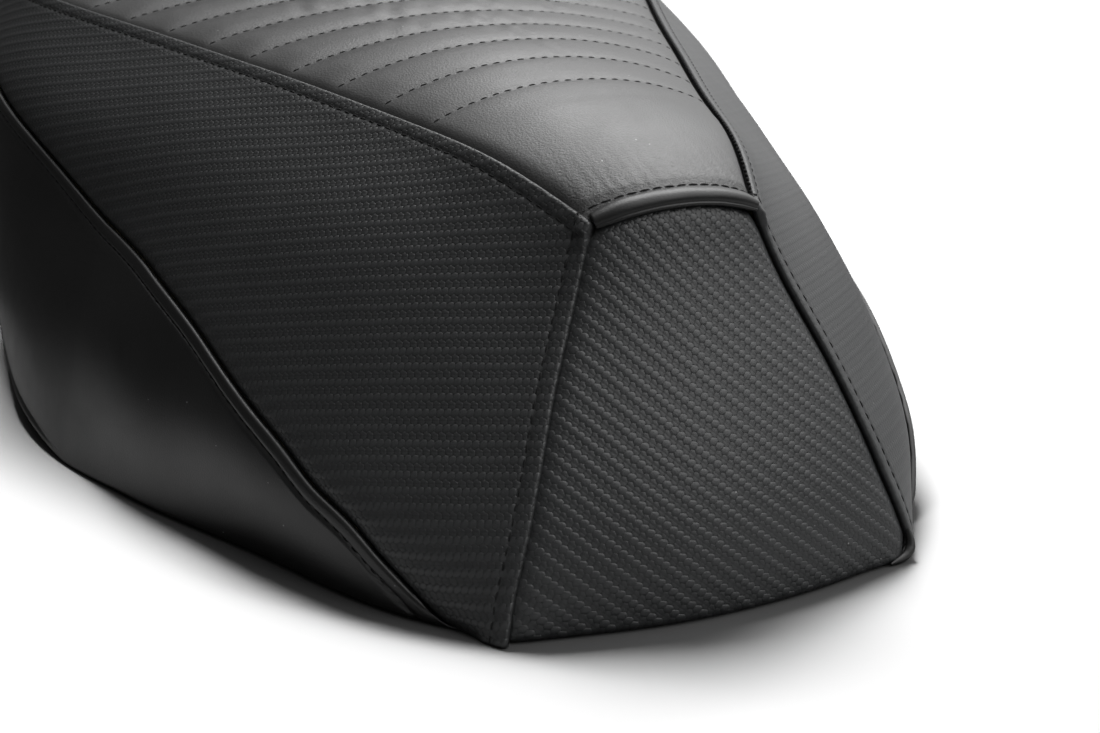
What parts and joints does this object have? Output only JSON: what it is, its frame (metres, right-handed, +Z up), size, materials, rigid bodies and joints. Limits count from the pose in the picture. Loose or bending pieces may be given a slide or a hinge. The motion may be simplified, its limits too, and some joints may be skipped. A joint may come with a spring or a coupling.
{
  "type": "motorcycle seat",
  "caption": "Two-up motorcycle seat: carbon-twill side and nose panels, row-stitched rider's top, raised pillion, moulded pan, front hinge, rear striker.",
  "frame": {"origin": "the middle of the front hinge's mounting face, between its two bolt holes, on the plane that the feet stand on", "axes": "+X to the rider's right, +Y towards the tail, +Z up"},
  "size_m": [0.3578, 0.6908, 0.2282],
  "materials": {
    "pan": "moulded black polypropylene with a fine grain",
    "foam": "moulded polyurethane foam, hidden under the cover",
    "smooth_vinyl": "black leather-grain upholstery vinyl, satin",
    "gloss_vinyl": "black smooth upholstery vinyl, semi-gloss",
    "carbon_vinyl": "black vinyl embossed with a carbon twill, satin",
    "carbon_vinyl_light": "charcoal vinyl embossed with a carbon twill, satin",
    "zinc_steel": "pressed steel, zinc plated",
    "bright_steel": "turned steel, zinc plated",
    "spring_steel": "blackened spring steel",
    "rubber": "black moulded rubber"
  },
  "bodies": {
    "frame_leaf": {"hinge_frame_leaf": "zinc_steel"},
    "seat": {"base_pan": "pan", "foam_cushion": "foam", "rider_cover": "smooth_vinyl", "step_panel": "smooth_vinyl", "pillion_cover": "smooth_vinyl", "tail_panel": "gloss_vinyl", "nose_panel": "carbon_vinyl_light", "nose_piping": "gloss_vinyl", "side_panel_left": "carbon_vinyl", "side_panel_right": "carbon_vinyl", "lower_panel_left": "gloss_vinyl", "lower_panel_right": "gloss_vinyl", "hinge_seat_leaf": "zinc_steel", "hinge_pin": "bright_steel", "hinge_clips": "spring_steel", "hinge_bolts": "bright_steel", "hinge_nuts": "bright_steel", "hinge_backing_plate": "zinc_steel", "striker": "bright_steel", "striker_plate": "zinc_steel", "striker_washers": "bright_steel", "striker_nuts": "bright_steel", "rubber_feet": "rubber", "staples": "bright_steel"}
  },
  "joints": [
    {"name": "seat_hinge", "type": "hinge", "parent": "frame_leaf", "child": "seat", "pos_m": [0, -0.038, 0.0095], "axis": [1, 0, 0], "range_deg": [0, 70]}
  ]
}
